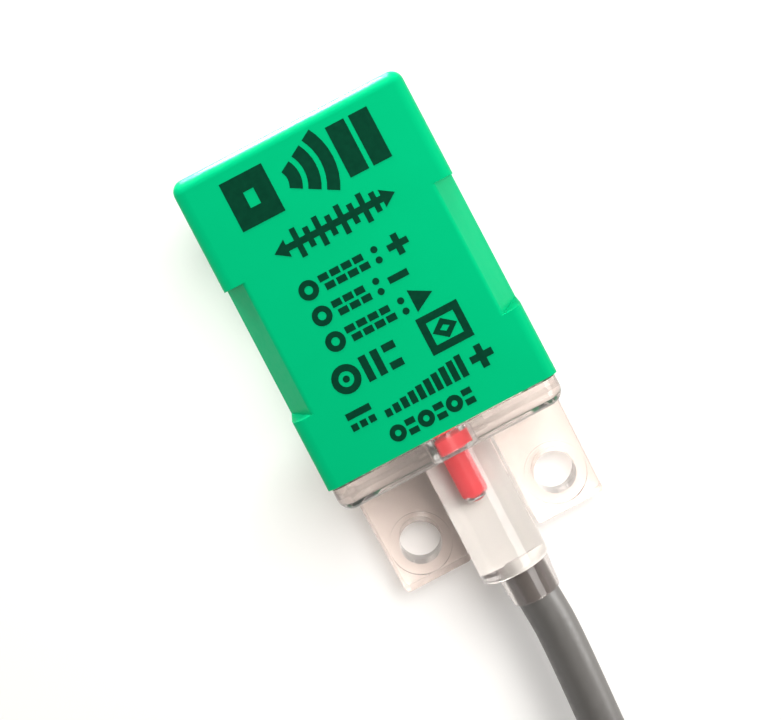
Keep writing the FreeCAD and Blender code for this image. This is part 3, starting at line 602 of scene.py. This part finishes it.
def add_arc(bm, x, back, outer, inner, start=0, end=360):
    """Part of a ring, or a whole one; angles in degrees."""
    count = max(6, round(abs(end - start) / DEGREES_PER_SIDE))
    angles = [math.radians(start + (end - start) * i / count) for i in range(count + 1)]
    for one, other in zip(angles, angles[1:]):
        add_film(bm, [around(x, back, outer, one), around(x, back, outer, other),
                      around(x, back, inner, other), around(x, back, inner, one)])


def add_dot(bm, x, back):
    add_film(bm, [around(x, back, DOT, 2 * math.pi * i / DISC_SIDES) for i in range(DISC_SIDES)])


def add_box(bm, left, right, front, back, line):
    add_bar(bm, left, right, front, front + line)
    add_bar(bm, left, right, back - line, back)
    add_bar(bm, left, left + line, front + line, back - line)
    add_bar(bm, right - line, right, front + line, back - line)


def add_plus(bm, x, back, reach, line):
    add_bar(bm, x - reach, x + reach, back - line / 2, back + line / 2)
    add_bar(bm, x - line / 2, x + line / 2, back - reach, back - line / 2)
    add_bar(bm, x - line / 2, x + line / 2, back + line / 2, back + reach)


def spaced(count, first, pitch):
    return [first + i * pitch for i in range(count)]


def mark_field(bm):
    """A sensor block, its field and a target plate."""
    add_box(bm, -5.8, -2.5, 1.6, 5.3, 1.25)
    for radius in (1.65, 2.95, 4.25):
        add_arc(bm, -2.6, 3.45, radius + 0.5, radius - 0.42, -30, 30)
    add_bar(bm, 2.55, 4.0, 1.5, 5.4)
    add_bar(bm, 4.35, 5.8, 1.5, 5.4)


def mark_scale(bm):
    """A scale with an arrow head at each end."""
    front = 7.42
    back = front + STROKE
    middle = front + STROKE / 2
    add_bar(bm, -3.6, 3.8, front, back)
    add_film(bm, [(-4.6, middle), (-3.6, 7.0), (-3.6, 8.35)])
    add_film(bm, [(4.8, middle), (3.8, 8.35), (3.8, 7.0)])
    for i, x in enumerate(spaced(8, -2.95, 0.86)):
        tall = 0.5 if i % 2 else 0.85
        add_bar(bm, x, x + 0.42, front - tall, front)
        add_bar(bm, x, x + 0.42, back, back + tall)


def mark_leads(bm):
    """Three leads: a terminal, two rows of dashes, a colon, and a plus, a minus or an arrow."""
    rows = spaced(3, 10.95, 2.0)
    for row, dashes, colon in zip(rows, (4, 3, 4), (1.65, 0.75, 1.65)):
        add_arc(bm, -3.65, row, 0.72, 0.3)
        for x in spaced(dashes, -2.7, 0.9):
            add_bar(bm, x, x + 0.72, row - 0.1 - STROKE, row - 0.1)
            add_bar(bm, x + 0.2, x + 0.92, row + 0.1, row + 0.1 + STROKE)
        add_dot(bm, colon, row - 0.4)
        add_dot(bm, colon, row + 0.4)
    plus, minus, arrow = rows
    add_plus(bm, 3.3, plus, 0.78, 0.48)
    add_bar(bm, 1.55, 3.05, minus - STROKE / 2, minus + STROKE / 2)
    add_film(bm, [(2.35, arrow - 0.85), (3.9, arrow), (2.35, arrow + 0.85)])


def mark_output(bm):
    """A ringed dot with bars, beside a framed diamond."""
    row = 17.6
    front = row - 0.95
    back = row + 0.95
    line = 0.55
    add_arc(bm, -4.2, row, 1.05, 0.55)
    add_dot(bm, -4.2, row)
    add_bar(bm, -2.85, -2.85 + line, front, back)
    add_bar(bm, -1.95, -1.95 + line, front, back)
    add_bar(bm, -1.05, -0.1, front, front + line)
    add_bar(bm, -1.05, -0.1, back - line, back)
    middle = 3.5
    add_box(bm, middle - 1.6, middle + 1.6, row - 1.4, row + 1.4, line)
    for side in (-1, 1):
        for end in (-1, 1):
            add_film(bm, [(middle, row + end * 0.75), (middle + side * 0.95, row),
                          (middle + side * 0.38, row), (middle, row + end * 0.25)])


def mark_supply(bm):
    """A direct-current sign, a rising level scale and a plus."""
    left = -5.45
    add_bar(bm, left, left + 1.85, 19.75, 19.75 + STROKE)
    for x in spaced(3, left, 0.68):
        add_bar(bm, x, x + 0.49, 20.6, 20.6 + STROKE)
    for i, x in enumerate(spaced(10, -2.9, 0.66)):
        add_bar(bm, x, x + 0.47, 20.75 - 0.12 * i, 21.3)
    add_plus(bm, 4.85, 20.5, 0.85, 0.52)


def mark_set_points(bm):
    """Rings and pairs of bars by turns."""
    for i, x in enumerate(spaced(6, -2.75, 1.1)):
        if i % 2:
            add_bar(bm, x - 0.36, x + 0.36, 21.98, 22.43)
            add_bar(bm, x - 0.36, x + 0.36, 22.7, 23.15)
        else:
            add_arc(bm, x, 22.57, 0.6, 0.22)


def build_marks():
    """Generic pictograms in place of the printed lettering: they carry no words."""
    bm = bmesh.new()
    for mark in (mark_field, mark_scale, mark_leads, mark_output, mark_supply, mark_set_points):
        mark(bm)
    marks = add_piece("printed_marks", bm, "print_ink")
    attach(marks, "sensor")


build_sheath()
build_cores()
build_lamp()
build_marks()


# ----------------------------------------------------------------------- studio

# the floor lies this far below the object, so that the two never share a plane
FLOOR_GAP = 0.05 * MM
# half the floor's side, in metres
FLOOR_HALF = 1.2
FLOOR_CELLS = 8

WARM = (1.0, 0.99, 0.97)
WHITE = (1.0, 1.0, 1.0)

# the height up to which the horizon's strength holds, and from which the overhead one does
HORIZON = (0.30, 1.2)
OVERHEAD = (0.55, 0.24)


def build_floor():
    bm = bmesh.new()
    bmesh.ops.create_grid(bm, x_segments=FLOOR_CELLS, y_segments=FLOOR_CELLS, size=FLOOR_HALF)
    mesh = bpy.data.meshes.new("floor")
    bm.to_mesh(mesh)
    bm.free()
    floor = bpy.data.objects.new("floor", mesh)
    bpy.context.scene.collection.objects.link(floor)
    look = Look("studio_floor", (0.97, 0.96, 0.945), roughness=0.7)
    look.vary_colour(look.noise(60 * MM, detail=2), (0.955, 0.945, 0.93))
    mesh.materials.append(look.material)
    floor.location.z = -FLOOR_GAP
    floor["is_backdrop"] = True


def add_area(name, place, target, size, power, colour):
    """A rectangular light at a place, facing its target."""
    light = bpy.data.lights.new(name, "AREA")
    light.shape = "RECTANGLE"
    light.size, light.size_y = size
    light.energy = power
    light.color = colour
    lamp = bpy.data.objects.new(name, light)
    bpy.context.scene.collection.objects.link(lamp)
    lamp.location = place
    lamp.rotation_euler = (Vector(target) - Vector(place)).to_track_quat("-Z", "Y").to_euler()
    lamp.visible_camera = False
    return lamp


def build_world():
    """A pale room, brighter towards the horizon than overhead."""
    world = bpy.data.worlds.new("studio")
    bpy.context.scene.world = world
    world.use_nodes = True
    tree = world.node_tree
    place = tree.nodes.new("ShaderNodeTexCoord")
    split = tree.nodes.new("ShaderNodeSeparateXYZ")
    level = tree.nodes.new("ShaderNodeMapRange")
    for (height, strength), end in ((HORIZON, "Min"), (OVERHEAD, "Max")):
        level.inputs[f"From {end}"].default_value = height
        level.inputs[f"To {end}"].default_value = strength
    tree.links.new(place.outputs["Generated"], split.inputs["Vector"])
    tree.links.new(split.outputs["Z"], level.inputs["Value"])
    backdrop = tree.nodes["Background"]
    backdrop.inputs["Color"].default_value = (1.0, 0.985, 0.97, 1)
    tree.links.new(level.outputs["Result"], backdrop.inputs["Strength"])


def linked(name, pieces):
    """A collection of the pieces that one light reaches, or that shade it."""
    group = bpy.data.collections.new(name)
    for piece in pieces:
        group.objects.link(piece)
    return group


def build_lights():
    """A soft key from the right, and low cards that light the object but not the floor."""
    pieces = {piece.name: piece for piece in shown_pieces()}
    key = add_area("softbox_key", (0.053, 0.047, 0.170), (0, 0, 10 * MM), (0.094, 0.094), 0.345,
                   (1.0, 0.985, 0.96))
    key.light_linking.blocker_collection = linked(
        "key_blockers", [piece for name, piece in pieces.items()
                         if name not in ("housing", "potting_resin", "lamp_lens")])
    body = linked("body_pieces", [piece for name, piece in pieces.items() if name != "rear_cap"])
    shell = linked("shell_piece", [pieces["housing"]])
    cap = linked("cap_piece", [pieces["rear_cap"]])
    cable = linked("cable_pieces", [pieces["sheath_near"], pieces["sheath_far"]])

    level = 8 * MM
    beside = JOINT + 9 * MM
    along = COLLAR_END - 6 * MM
    # name, what it lights, place, target and size (metres), power (watts), colour
    cards = [
        ("card_right", body, (0.042, beside, 0.034), (0, beside, level), (0.04, 0.022), 0.016,
         WARM),
        ("card_left", body, (-0.042, beside, 0.030), (0, beside, level), (0.04, 0.022), 0.005,
         WARM),
        ("card_front", body, (0, FRONT + 60 * MM, 0.024), (0, FRONT, 16 * MM), (0.08, 0.012),
         0.18, (0.80, 0.97, 1.0)),
        ("card_shine", shell, (0, FRONT + 26 * MM, TOP / 2), (0, FRONT, TOP / 2),
         (0.016, 0.016), 0.52, (0.75, 0.95, 1.0)),
        ("card_cable", cable, (0.045, along, 0.022), (0, along, level), (0.04, 0.02), 0.03,
         (1.0, 0.99, 0.98)),
        ("card_gloss", cap, (0.062, -0.022, 0.115), (0, 0, high("rear_cap").z), (0.17, 0.06),
         0.19, WHITE),
    ]
    for name, lit, *settings in cards:
        card = add_area(name, *settings)
        card.light_linking.receiver_collection = lit
        # two cards are seen only as reflections, and the front one only as light
        if name in ("card_shine", "card_gloss"):
            card.visible_diffuse = False
            card.visible_transmission = False
        if name == "card_front":
            card.visible_glossy = False


def build_camera():
    """Looks straight down from above the front half, with the frame shifted off its axis."""
    data = bpy.data.cameras.new("camera")
    data.sensor_fit = "HORIZONTAL"
    data.sensor_width = 36
    data.lens = 69.9
    data.shift_x = 0.015
    data.shift_y = -0.179
    data.clip_start = 0.01
    camera = bpy.data.objects.new("camera", data)
    bpy.context.scene.collection.objects.link(camera)
    camera.location = (2.9 * MM, JOINT + 15.1 * MM, TOP + 105 * MM)
    camera.rotation_euler = (0, 0, math.radians(-27.68))
    bpy.context.scene.camera = camera


build_floor()
build_world()
build_lights()
build_camera()
bpy.context.scene.view_settings.view_transform = "Standard"
